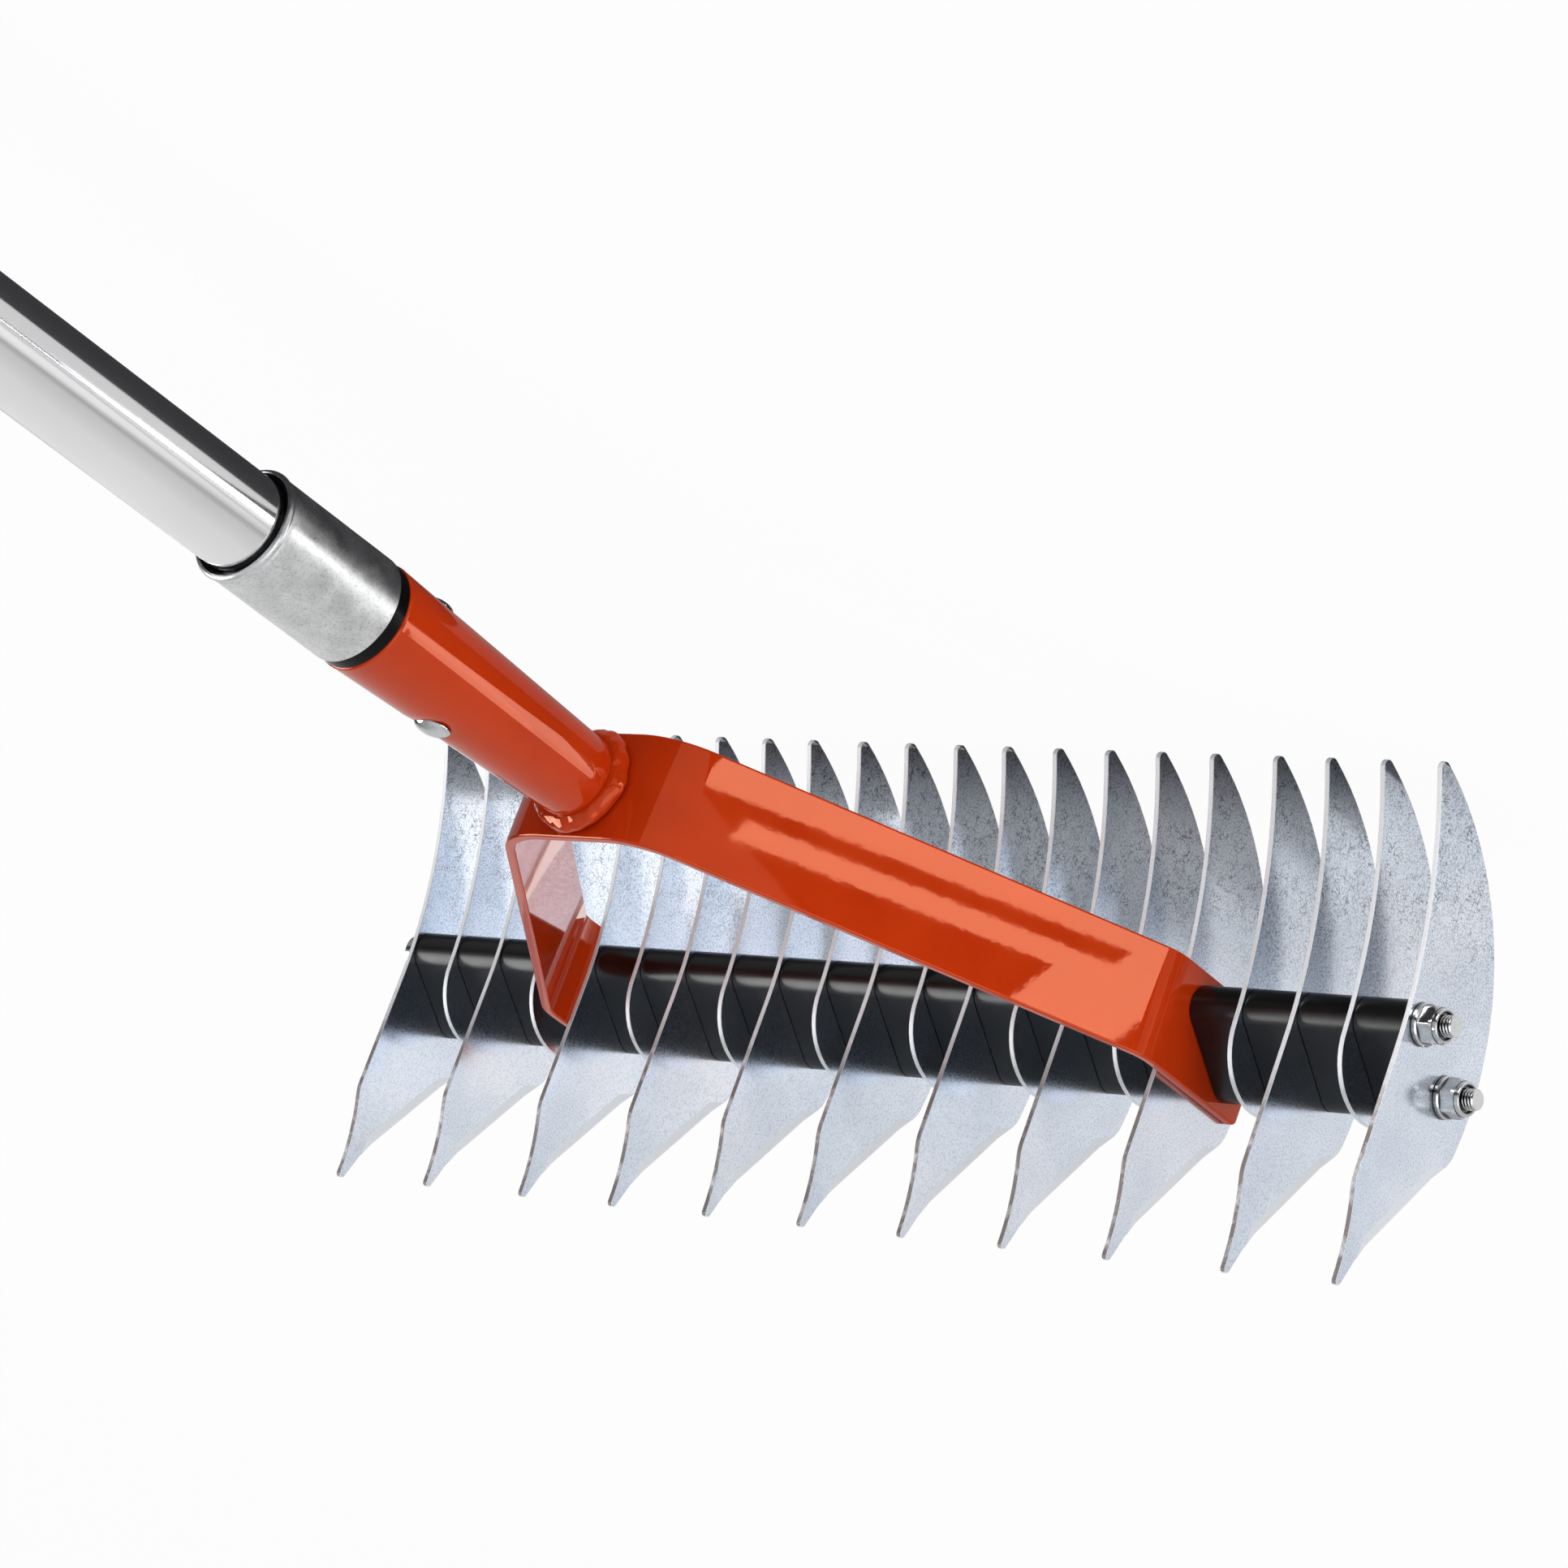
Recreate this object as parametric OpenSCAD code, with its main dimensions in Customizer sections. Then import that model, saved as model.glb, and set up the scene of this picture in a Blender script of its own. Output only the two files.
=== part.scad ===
// Double-sided thatch rake: sickle and knife blades strung with plastic spacers on two
// through bolts, carried by a bent flat-bar bow on a long steel handle.
// It lies at rest on its sickle teeth and the end of its grip. X runs along the row of
// blades, Y from the grip to the blades, Z up from the surface it lies on.

/* [Blades] */
// Number of long double-ended blades, with a short blade between each two
long_count = 11; // [9:1:13]
// Thickness of a blade
blade_t = 1.5; // [1:0.1:2.5]
// Width of a blade from front to back, at the bolts
blade_depth = 38; // [36:0.5:44]
// Radius of the curved back of a blade
back_r = 80.4; // [76:0.2:86]
// Radius of the hollow front of the sickle tooth
front_r = 149; // [140:0.5:158]
// How far the back of a blade lies behind the middle of the bolts
back_reach = 21.8; // [20:0.1:24]
// Height of the centres of both blade arcs above the middle of the bolts
arc_rise = 4.4; // [2:0.1:6]
// Radius of the rounded sickle tip
sickle_tip_r = 2; // [1:0.1:3]
// Height of the knife tip above the middle of the bolts
knife_reach = 69.4; // [62:0.2:78]
// How far the knife tip lies behind the straight front of the blade
knife_inset = 5; // [3:0.1:7]
// Radius of the rounded knife tip
knife_tip_r = 1.2; // [1:0.1:2.2]
// Radius of the hollow front of the knife tooth
knife_r = 70; // [50:1:100]
// Radius of the turn from the straight front to that hollow
waist_r = 12; // [6:0.5:18]
// Angle on the curved back at which the heel of the knife tooth begins
heel_angle = 10; // [7:0.5:12]
// Radius of the heel
heel_r = 9; // [6:0.5:11]
// Width of the knife tooth where its ground edge ends
nose_w = 5.1; // [4.2:0.1:6]
// Height from that place to the knife tip
nose_h = 8.8; // [6:0.1:11]
// Width of the ground edge
bevel_w = 3.5; // [2:0.1:4]
// Length left unground at each end of that edge
bevel_end = 0.6; // [0.5:0.1:3]
// Length over which the grinding runs out at each end
bevel_run = 6; // [2:0.5:10]
// Metal left at the ground edge
edge_t = 0.5; // [0.3:0.05:0.8]
// Height of the middle of a short blade's round end above the middle of the bolts
short_rise = -0.6; // [-2:0.1:1]

/* [Spacers and bolts] */
// Length of a spacer
spacer_len = 17; // [14:0.5:22]
// Radius of a spacer's round ends
spacer_r = 6.5; // [5.5:0.1:7]
// Distance between the two bolts
bolt_pitch = 22.5; // [20:0.5:24]
// Slope of the line through the two bolts, in degrees
bolt_slope = 34.3; // [25:0.1:42]
// Diameter of a bolt
bolt_d = 6; // [5:0.5:7]
// Clearance between a bolt and its holes
bolt_gap = 0.3; // [0.2:0.05:0.4]
// Diameter of a bolt's domed head
bolt_head_d = 11; // [10:0.5:13]
// Height of a bolt's domed head above its rim
bolt_head_h = 1.6; // [1:0.1:3]
// Height of the straight rim under that dome
bolt_rim_h = 4.2; // [2:0.1:5]
// Length of bolt that stands out of its nut
bolt_tail = 3.1; // [1:0.1:8]
// Chamfer around the end of a bolt
bolt_chamfer = 0.4; // [0.2:0.1:0.8]
// Diameter of a flat washer
washer_d = 12; // [11:0.5:13]
// Thickness of a flat washer
washer_t = 1.6; // [1:0.1:2]
// Width of a lock nut across its flats
nut_af = 10; // [9:0.5:12]
// Height of a lock nut's hexagon
nut_h = 4.4; // [4:0.1:6]
// Diameter of the round collar on a lock nut
nut_collar_d = 9.6; // [8:0.1:10]
// Height of the round collar on a lock nut
nut_collar_h = 1.5; // [1:0.1:3]
// Angle of the rear nut against the front one, as they came to rest when tightened
nut_turn = 30; // [0:5:60]
// Clearance between a nut and its bolt
nut_gap = 0.05; // [0.02:0.01:0.1]

/* [Bow] */
// Thickness of the flat bar
bar_t = 3; // [2.5:0.1:5]
// Width of the flat bar
bar_w = 32; // [30:0.5:40]
// Number of blades outside each leg of the bow
leg_blade = 4; // [3:1:5]
// Distance from the middle of the bolts to the middle of the crest
bow_reach = 145.8; // [125:0.1:170]
// Half of the width between the corners of the crest
crest_half = 24.4; // [22:0.2:32]
// Bending radius at the corners of the crest
crest_r = 23.4; // [18:0.2:25]
// Distance from the middle of the bolts to where the arms turn into legs
leg_turn = 24.6; // [23:0.1:34]
// Bending radius where the arms turn into legs
leg_turn_r = 13; // [6:0.5:18]
// How far the legs reach behind the middle of the bolts
leg_end = 19.5; // [18:0.1:21]
// Radius of the corners at the end of a leg
leg_corner_r = 2; // [1:0.5:6]

/* [Socket] */
// Length of the tapered socket
socket_len = 95.2; // [85:0.1:120]
// Diameter of the socket at its mouth
socket_mouth_d = 31.5; // [31:0.1:34]
// Diameter of the socket at the weld
socket_weld_d = 24; // [22:0.1:25]
// Wall thickness of the socket
socket_wall = 1.8; // [1.4:0.1:2]
// Width of the weld bead on the socket
weld_h = 5; // [3:0.1:7]
// Width of the weld bead on the bow
weld_w = 3.2; // [2:0.1:4]
// Thickness of the weld bead at its edges
weld_edge = 0.8; // [0.4:0.1:1.2]
// How far the weld bead bulges out between its edges
weld_bulge = 0.7; // [0.2:0.1:1.2]
// Gap left between the bead and the tapered socket
weld_gap = 0.05; // [0.02:0.01:0.2]
// Distance from the socket's mouth to the screw on top
top_screw_at = 36; // [32:0.5:46]
// Distance from the socket's mouth to the screw underneath
under_screw_at = 21.5; // [14:0.5:24]
// Diameter of a screw's domed head
screw_head_d = 10.2; // [8:0.2:11]
// Height of a screw's domed head above its rim
screw_head_h = 1.7; // [1.2:0.1:3]
// Height of the straight rim under that dome
screw_rim_h = 0.8; // [0.4:0.1:1.5]
// Diameter of a screw
screw_d = 4.8; // [4:0.1:6]
// Length of a screw under its head
screw_len = 12; // [8:0.5:12.5]
// Clearance between a screw and its holes
screw_gap = 0.1; // [0.05:0.05:0.3]
// Depth of the flat seat under a screw's head
seat_depth = 0.9; // [0.2:0.1:1]
// Rim left around a screw's head on its seat
seat_rim = 0.8; // [0.3:0.1:1.5]

/* [Coupling] */
// Length of the plug inside the socket
plug_len = 55; // [50:1:75]
// Clearance between the plug and the socket
plug_gap = 0.15; // [0.1:0.05:0.3]
// Thickness of the ring between the socket and the collar
ring_t = 4; // [3:0.1:8]
// Diameter of that ring
ring_d = 31; // [30.4:0.1:31.4]
// Distance from the socket's mouth to the floor that the handle stands on
floor_at = 9; // [6:0.5:14]
// Length of the collar
collar_len = 45; // [40:1:60]
// Outer diameter of the collar
collar_d = 31.6; // [31.4:0.1:33]
// Wall thickness of the collar
collar_wall = 0.9; // [0.9:0.1:1.1]
// Clearance between the collar and the cup inside it
collar_gap = 0.05; // [0.02:0.01:0.1]
// Radius of the bead rolled around the collar's end
bead_r = 1.2; // [1:0.1:1.2]
// How far that bead stands out of the collar
bead_out = 0.4; // [0.4:0.1:0.8]
// Depth of the cup's edge inside the collar's end
cup_recess = 0.8; // [0:0.1:3]

/* [Handle] */
// Length of the handle's tube
tube_len = 1210; // [900:5:1500]
// Outer diameter of the tube
tube_d = 27; // [26.5:0.1:27.2]
// Wall thickness of the tube
tube_wall = 1; // [0.8:0.1:2]
// Clearance between the tube and what it fits
tube_gap = 0.1; // [0.05:0.01:0.15]
// Length of the grip
grip_len = 250; // [150:5:350]
// Outer diameter of the grip
grip_d = 33; // [31:0.5:38]
// Number of shallow rings around the grip
grip_rings = 9; // [3:1:9]
// Width of a ring
grip_ring_w = 4; // [2:0.5:6]
// Distance from one ring to the next
grip_ring_pitch = 14; // [8:0.5:15]
// Depth of a ring
grip_ring_d = 0.8; // [0.4:0.1:1.2]
// Length of the end cap's plug inside the tube
cap_plug = 25; // [15:1:40]
// Thickness of the end cap's flange
cap_flange = 5; // [3:0.5:8]
// Radius of the end cap's eye
eye_r = 13; // [10:0.5:15]
// Thickness of the end cap's eye
eye_t = 14; // [8:0.5:18]
// Distance from the flange to the hang hole
eye_out = 12; // [10:0.5:20]
// Diameter of the hang hole
hang_d = 8; // [6:0.5:12]

/* [Hidden] */
$fn = 64;
// Room that a cutting tool needs past the surface it cuts
past = 1;

// Stack of blades, legs and spacers along X
blade_count = 2 * long_count - 1;
last_blade = blade_count - 1;
stack_len = blade_count * blade_t + last_blade * spacer_len + 2 * bar_t;

// Low face of blade k
function blade_x(k) =
    k * (blade_t + spacer_len) - stack_len / 2
    + (k >= leg_blade ? bar_t : 0)
    + (k > last_blade - leg_blade ? bar_t : 0);
// Low face of the spacer behind blade k
function spacer_x(k) = blade_x(k) + blade_t + (k == last_blade - leg_blade ? bar_t : 0);

bolt_y = bolt_pitch / 2 * cos(bolt_slope);
bolt_z = bolt_pitch / 2 * sin(bolt_slope);
bolt_hole_d = bolt_d + 2 * bolt_gap;
nut_total = washer_t + nut_h + nut_collar_h;

// Points of an arc about c, from angle a to angle b
function arc(c, r, a, b, steps) =
    [for (i = [0 : steps]) c + r * [cos(a + (b - a) * i / steps), sin(a + (b - a) * i / steps)]];
function angle_of(v) = atan2(v[1], v[0]);
function reversed(list) = [for (i = [len(list) - 1 : -1 : 0]) list[i]];
function flipped(list) = [for (p = list) [-p[0], p[1]]];

// Blade outline in the plane of Y and Z, about the middle of the bolts
back_c = [back_reach - back_r, arc_rise];
front_c = [back_reach - blade_depth - front_r, arc_rise];
sickle_y = (pow(front_r + sickle_tip_r, 2) - pow(back_r - sickle_tip_r, 2)
    + pow(back_c[0] - front_c[0], 2)) / 2 / (back_c[0] - front_c[0]);
sickle_c = front_c + [sickle_y, -sqrt(pow(front_r + sickle_tip_r, 2) - sickle_y * sickle_y)];
back_low = angle_of(sickle_c - back_c);
front_low = angle_of(sickle_c - front_c);
front_y = back_reach - blade_depth;

// Knife tooth: heel, ground edge, nose, tip, hollow front and waist
heel_c = back_c + (back_r - heel_r) * [cos(heel_angle), sin(heel_angle)];
nose = [front_y + knife_inset + nose_w, knife_reach - nose_h];
edge_angle = angle_of(nose - heel_c) - acos(heel_r / norm(nose - heel_c));
edge_start = heel_c + heel_r * [cos(edge_angle), sin(edge_angle)];
knife_c = [front_y + knife_inset + knife_tip_r, knife_reach - knife_tip_r];
nose_angle = angle_of(knife_c - nose) - asin(knife_tip_r / norm(knife_c - nose)) - 90;
hollow_c = [front_y + knife_inset - knife_r, knife_c[1]];
waist_drop = sqrt(pow(knife_r + waist_r, 2) - pow(knife_r + waist_r - knife_inset, 2));
waist_angle = asin(waist_drop / (knife_r + waist_r));
waist_c = [front_y + waist_r, knife_c[1] - waist_drop];

// Round end of a short blade: meets the front squarely and touches the back
short_front = asin((short_rise - arc_rise) / front_r);
short_lead = front_c[0] + front_r * cos(short_front);
short_span = short_lead - back_c[0];
short_r = (pow(back_r, 2) - pow(short_span, 2) - pow(short_rise - arc_rise, 2))
    / 2 / (back_r + short_span);
short_c = [short_lead + short_r, short_rise];
short_back = angle_of(short_c - back_c);

// Sickle tooth, from angle a on its front round its tip and up to angle b on its back
function sickle(a, b) = concat(
    arc(front_c, front_r, a, front_low, 14),
    arc(sickle_c, sickle_tip_r, front_low + 180, back_low + 360, 8),
    arc(back_c, back_r, back_low, b, 24)
);
long_outline = concat(
    sickle(0, heel_angle),
    arc(heel_c, heel_r, heel_angle, edge_angle, 5),
    [nose],
    arc(knife_c, knife_tip_r, nose_angle, 180, 8),
    arc(hollow_c, knife_r, 0, -waist_angle, 8),
    arc(waist_c, waist_r, 180 - waist_angle, 180, 4)
);
short_outline = concat(
    sickle(short_front, short_back),
    arc(short_c, short_r, short_back, 180, 24)
);

// Bow path in the plane of X and Y
leg_x = -blade_x(leg_blade) + bar_t / 2;
arm_angle = atan2(bow_reach - leg_turn, leg_x - crest_half);
crest_c = [crest_half - crest_r * tan(arm_angle / 2), crest_r - bow_reach];
turn_c = [leg_x - leg_turn_r, leg_turn_r * tan(45 - arm_angle / 2) - leg_turn];
// Right half of the bow's face at distance out from the middle of the bar
function bow_side(out) = concat(
    arc(crest_c, crest_r + out, -90, arm_angle - 90, 16),
    arc(turn_c, leg_turn_r + out, arm_angle - 90, 0, 10),
    [[leg_x + out, leg_end]]
);
bow_outline = concat(
    bow_side(bar_t / 2),
    reversed(bow_side(-bar_t / 2)),
    flipped(bow_side(-bar_t / 2)),
    reversed(flipped(bow_side(bar_t / 2)))
);

// Places along the handle's axis, measured from the crest's front face to the grip
mouth_at = socket_len;
collar_at = mouth_at + ring_t;
tube_at = mouth_at + floor_at;
collar_end = collar_at + collar_len;
tube_end = tube_at + tube_len;
cap_end = tube_end + cap_flange;
eye_at = cap_end + eye_out;
axis_y = -bow_reach - bar_t / 2;

// Rest on the sickle tips and the lowest edge of the end cap's flange
rest_to_tip = [sickle_c[0] - (axis_y - cap_end), sickle_c[1] + grip_d / 2];
rest_pitch = asin(sickle_tip_r / norm(rest_to_tip)) - angle_of(rest_to_tip);
surface_z = sickle_c[0] * sin(rest_pitch) + sickle_c[1] * cos(rest_pitch) - sickle_tip_r;
back_end_y = back_c[0] * cos(rest_pitch) - back_c[1] * sin(rest_pitch) + back_r;
grip_end_y = (axis_y - eye_at) * cos(rest_pitch) - eye_r;
middle_y = (back_end_y + grip_end_y) / 2;

steel = [0.78, 0.8, 0.83];
bright_steel = [0.86, 0.87, 0.88];
black = [0.06, 0.06, 0.07];
orange = [0.78, 0.22, 0.06];

long_names = [for (i = [1 : long_count]) str("long_blade_", i)];
short_names = [for (i = [1 : long_count - 1]) str("short_blade_", i)];
spacer_names = [for (i = [1 : last_blade]) str("spacer_", i)];

// Lays the rake down on its surface, about the middle of its outline
module at_rest() {
    translate([0, -middle_y, -surface_z])
        rotate([rest_pitch, 0, 0])
            children();
}

// Stands a plate drawn in Y and Z at x, with its thickness along X
module plate(x, t) {
    translate([x, 0, 0])
        rotate([90, 0, 90])
            linear_extrude(t)
                children();
}

// Points local Z from the crest towards the grip
module on_handle(z) {
    translate([0, axis_y - z, 0])
        rotate([90, 0, 0])
            children();
}

module at_bolts() {
    for (side = [-1, 1])
        translate([side * bolt_y, side * bolt_z])
            children();
}

// Cap of a sphere, d wide and h high, standing on Z = 0
module dome(d, h) {
    r = (d * d / 4 + h * h) / 2 / h;
    intersection() {
        translate([0, 0, h - r])
            sphere(r);
        cylinder(d = d, h = h);
    }
}

// Wedge that grinds the low face of a blade along the back of its knife tooth
module bevel_cut() {
    along = nose - edge_start;
    last = norm(along) - bevel_end;
    over = bevel_run * edge_t / (blade_t - edge_t);
    translate(edge_start)
        rotate([0, 0, angle_of(along)])
            translate([0, bevel_w, 0])
                rotate([-atan2(blade_t - edge_t, bevel_w), 0, 0])
                    rotate([90, 0, 0])
                        linear_extrude(2 * bevel_w)
                            polygon([
                                [bevel_end - over, -blade_t],
                                [last + over, -blade_t],
                                [last - bevel_run, 0],
                                [bevel_end + bevel_run, 0]
                            ]);
}

module long_blade(i) {
    color(steel)
        at_rest()
            translate([blade_x(2 * i), 0, 0])
                rotate([90, 0, 90])
                    difference() {
                        linear_extrude(blade_t)
                            difference() {
                                polygon(long_outline);
                                at_bolts() circle(d = bolt_hole_d);
                            }
                        bevel_cut();
                    }
}

module short_blade(i) {
    color(steel)
        at_rest()
            plate(blade_x(2 * i + 1), blade_t)
                difference() {
                    polygon(short_outline);
                    at_bolts() circle(d = bolt_hole_d);
                }
}

module spacer(k) {
    color(black)
        at_rest()
            plate(spacer_x(k), spacer_len)
                difference() {
                    rotate(bolt_slope)
                        polygon(concat(
                            arc([bolt_pitch / 2, 0], spacer_r, -90, 90, 20),
                            arc([-bolt_pitch / 2, 0], spacer_r, 90, 270, 20)
                        ));
                    at_bolts() circle(d = bolt_hole_d);
                }
}

// Domed bolt through the whole stack, head on the high end of X
module through_bolt(side) {
    end_d = bolt_d - 2 * bolt_chamfer;
    shank = stack_len + nut_total + bolt_tail - bolt_chamfer;
    color(bright_steel)
        at_rest()
            translate([stack_len / 2, side * bolt_y, side * bolt_z])
                rotate([0, 90, 0]) {
                    translate([0, 0, bolt_rim_h])
                        dome(bolt_head_d, bolt_head_h);
                    cylinder(d = bolt_head_d, h = bolt_rim_h);
                    translate([0, 0, -shank])
                        cylinder(d = bolt_d, h = shank);
                    translate([0, 0, -shank - bolt_chamfer])
                        cylinder(d1 = end_d, d2 = bolt_d, h = bolt_chamfer);
                }
}

// Puts a fastener on each bolt at the low end of X, standing out from the last blade
module at_bolt_tails(out) {
    for (side = [-1, 1])
        translate([-stack_len / 2 - out, side * bolt_y, side * bolt_z])
            rotate([0, -90, 0])
                rotate(side > 0 ? nut_turn : 0)
                    children();
}

module bolt_washers() {
    color(bright_steel)
        at_rest()
            at_bolt_tails(0)
                difference() {
                    cylinder(d = washer_d, h = washer_t);
                    translate([0, 0, -past])
                        cylinder(d = bolt_hole_d, h = washer_t + 2 * past);
                }
}

module lock_nuts() {
    color(bright_steel)
        at_rest()
            at_bolt_tails(washer_t)
                difference() {
                    union() {
                        cylinder(d = nut_af / cos(30), h = nut_h, $fn = 6);
                        cylinder(d = nut_collar_d, h = nut_h + nut_collar_h);
                    }
                    translate([0, 0, -past])
                        cylinder(d = bolt_d + 2 * nut_gap, h = nut_h + nut_collar_h + 2 * past);
                }
}

// Square corner that a round leg end leaves over, as a cutter
module leg_corner() {
    difference() {
        square(2 * leg_corner_r);
        circle(leg_corner_r);
    }
}

module bow() {
    color(orange)
        at_rest()
            difference() {
                translate([0, 0, -bar_w / 2])
                    linear_extrude(bar_w)
                        polygon(bow_outline);
                plate(-leg_x - bar_t, 2 * (leg_x + bar_t)) {
                    at_bolts() circle(d = bolt_hole_d);
                    for (side = [0, 1])
                        mirror([0, side])
                            translate([leg_end - leg_corner_r, bar_w / 2 - leg_corner_r])
                                leg_corner();
                }
            }
}

// Radius of the socket's outside at a distance from the crest
function socket_r(z) =
    (socket_weld_d + (socket_mouth_d - socket_weld_d) * z / socket_len) / 2;

// Fillet of weld metal around the foot of the socket
module weld_bead() {
    foot = socket_r(0) + weld_gap;
    rise = socket_r(weld_h) + weld_gap;
    low = [foot + weld_w, weld_edge];
    high = [rise + weld_edge, weld_h];
    out = [high[1] - low[1], low[0] - high[0]] / norm(high - low);
    color(orange)
        at_rest()
            on_handle(0)
                rotate_extrude()
                    polygon([
                        [foot, 0],
                        [foot + weld_w, 0],
                        low,
                        (low + high) / 2 + weld_bulge * out,
                        high,
                        [rise, weld_h]
                    ]);
}

// Place of a screw along the handle's axis, and of its seat out from that axis
function screw_at(side) = mouth_at - (side == 0 ? top_screw_at : under_screw_at);
function screw_seat(side) = socket_r(screw_at(side)) - seat_depth;

// Puts something on the seat of each screw, with local Z out of the socket
module at_screws() {
    for (side = [0, 1])
        on_handle(screw_at(side))
            rotate([0, 0, 180 * side])
                rotate([-90, 0, 0])
                    translate([0, 0, screw_seat(side)])
                        children();
}

module socket() {
    color(orange)
        at_rest()
            difference() {
                on_handle(0)
                    difference() {
                        cylinder(r1 = socket_r(0), r2 = socket_r(socket_len), h = socket_len);
                        translate([0, 0, -past])
                            cylinder(
                                r1 = socket_r(-past) - socket_wall,
                                r2 = socket_r(socket_len + past) - socket_wall,
                                h = socket_len + 2 * past
                            );
                    }
                at_screws() {
                    cylinder(d = screw_head_d + 2 * seat_rim, h = screw_rim_h + screw_head_h);
                    translate([0, 0, -screw_len])
                        cylinder(d = screw_d + 2 * screw_gap, h = screw_len + past);
                }
            }
}

module socket_screws() {
    color(bright_steel)
        at_rest()
            at_screws() {
                translate([0, 0, screw_rim_h])
                    dome(screw_head_d, screw_head_h);
                cylinder(d = screw_head_d, h = screw_rim_h);
                translate([0, 0, -screw_len])
                    cylinder(d = screw_d, h = screw_len);
            }
}

// Moulded coupling: a plug in the socket, a ring between the two tubes and a cup for the handle
module coupling() {
    plug_low = mouth_at - plug_len;
    cup_r = collar_d / 2 - collar_wall - collar_gap;
    bore_r = tube_d / 2 + tube_gap;
    inset = socket_wall + plug_gap;
    color(black)
        at_rest()
            difference() {
                on_handle(0)
                    rotate_extrude()
                        polygon([
                            [0, plug_low],
                            [socket_r(plug_low) - inset, plug_low],
                            [socket_r(mouth_at) - inset, mouth_at],
                            [ring_d / 2, mouth_at],
                            [ring_d / 2, collar_at],
                            [cup_r, collar_at],
                            [cup_r, collar_end - cup_recess],
                            [bore_r, collar_end - cup_recess],
                            [bore_r, tube_at],
                            [0, tube_at]
                        ]);
                at_screws()
                    translate([0, 0, -screw_len - screw_gap])
                        cylinder(d = screw_d + 2 * screw_gap, h = screw_len + screw_head_d);
            }
}

// Plain steel tube with a bead rolled around the end that faces the grip
module collar() {
    out_r = collar_d / 2;
    bead_c = [out_r + bead_out - bead_r, collar_end - bead_r];
    color(steel)
        at_rest()
            on_handle(0)
                rotate_extrude()
                    polygon(concat(
                        [
                            [out_r - collar_wall, collar_at],
                            [out_r, collar_at],
                            [out_r, collar_end - 2 * bead_r]
                        ],
                        arc(bead_c, bead_r, -60, 90, 8),
                        [[out_r - collar_wall, collar_end]]
                    ));
}

module handle_tube() {
    color(bright_steel)
        at_rest()
            on_handle(tube_at)
                difference() {
                    cylinder(d = tube_d, h = tube_len);
                    translate([0, 0, -past])
                        cylinder(d = tube_d - 2 * tube_wall, h = tube_len + 2 * past);
                }
}

module grip() {
    first_ring = tube_end - grip_len / 2 - grip_ring_pitch * (grip_rings - 1) / 2;
    color(black)
        at_rest()
            on_handle(0)
                difference() {
                    translate([0, 0, tube_end - grip_len])
                        cylinder(d = grip_d, h = grip_len);
                    translate([0, 0, tube_end - grip_len - past])
                        cylinder(d = tube_d + 2 * tube_gap, h = grip_len + 2 * past);
                    for (i = [0 : grip_rings - 1])
                        translate([0, 0, first_ring + i * grip_ring_pitch - grip_ring_w / 2])
                            difference() {
                                cylinder(d = grip_d + past, h = grip_ring_w);
                                cylinder(d = grip_d - 2 * grip_ring_d, h = grip_ring_w);
                            }
                }
}

// Plug, flange and hanging eye in the end of the tube
module end_cap() {
    plug_d = tube_d - 2 * tube_wall - 2 * tube_gap;
    color(black)
        at_rest()
            on_handle(tube_end)
                difference() {
                    union() {
                        translate([0, 0, -cap_plug])
                            cylinder(d = plug_d, h = cap_plug + cap_flange / 2);
                        cylinder(d = grip_d, h = cap_flange);
                        translate([-eye_t / 2, -eye_r, cap_flange / 2])
                            cube([eye_t, 2 * eye_r, cap_flange / 2 + eye_out]);
                        translate([-eye_t / 2, 0, cap_flange + eye_out])
                            rotate([0, 90, 0])
                                cylinder(r = eye_r, h = eye_t);
                    }
                    translate([-eye_t / 2 - past, 0, cap_flange + eye_out])
                        rotate([0, 90, 0])
                            cylinder(d = hang_d, h = eye_t + 2 * past);
                }
}

for (i = [0 : long_count - 1])
    long_blade(i);
for (i = [0 : long_count - 2])
    short_blade(i);
for (k = [0 : last_blade - 1])
    spacer(k);
through_bolt(-1);  // front_bolt
through_bolt(1);  // rear_bolt
bolt_washers();
lock_nuts();
bow();
weld_bead();
socket();
socket_screws();
coupling();
collar();
handle_tube();
grip();
end_cap();
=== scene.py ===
"""Looks of the double-sided thatch rake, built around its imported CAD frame."""

import math
import random

import bmesh
import bpy
from mathutils import Matrix, Vector, noise


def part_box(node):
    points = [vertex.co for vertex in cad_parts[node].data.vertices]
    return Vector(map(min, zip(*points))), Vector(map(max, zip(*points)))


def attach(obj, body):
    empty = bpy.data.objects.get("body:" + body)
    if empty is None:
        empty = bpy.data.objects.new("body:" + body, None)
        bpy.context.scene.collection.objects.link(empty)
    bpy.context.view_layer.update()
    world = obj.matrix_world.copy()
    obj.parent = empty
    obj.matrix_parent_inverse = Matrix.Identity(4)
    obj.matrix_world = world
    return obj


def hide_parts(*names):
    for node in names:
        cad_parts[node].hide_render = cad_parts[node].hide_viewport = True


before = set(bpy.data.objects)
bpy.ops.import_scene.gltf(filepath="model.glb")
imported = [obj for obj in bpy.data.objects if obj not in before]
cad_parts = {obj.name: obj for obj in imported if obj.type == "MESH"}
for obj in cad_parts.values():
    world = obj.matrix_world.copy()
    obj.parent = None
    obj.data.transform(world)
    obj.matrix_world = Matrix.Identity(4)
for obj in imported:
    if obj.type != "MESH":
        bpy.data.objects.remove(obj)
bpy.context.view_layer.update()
random.seed(7)

# Head frame: origin midway between the two through bolts, X along the row of blades, Y along
# the handle towards the blades, Z towards the knife teeth. Sizes in it are in millimetres.
MM = 0.001
BOLT_SLOPE = math.radians(34.3)


def middle_of(node):
    low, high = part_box(node)
    return (low + high) / 2


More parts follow.
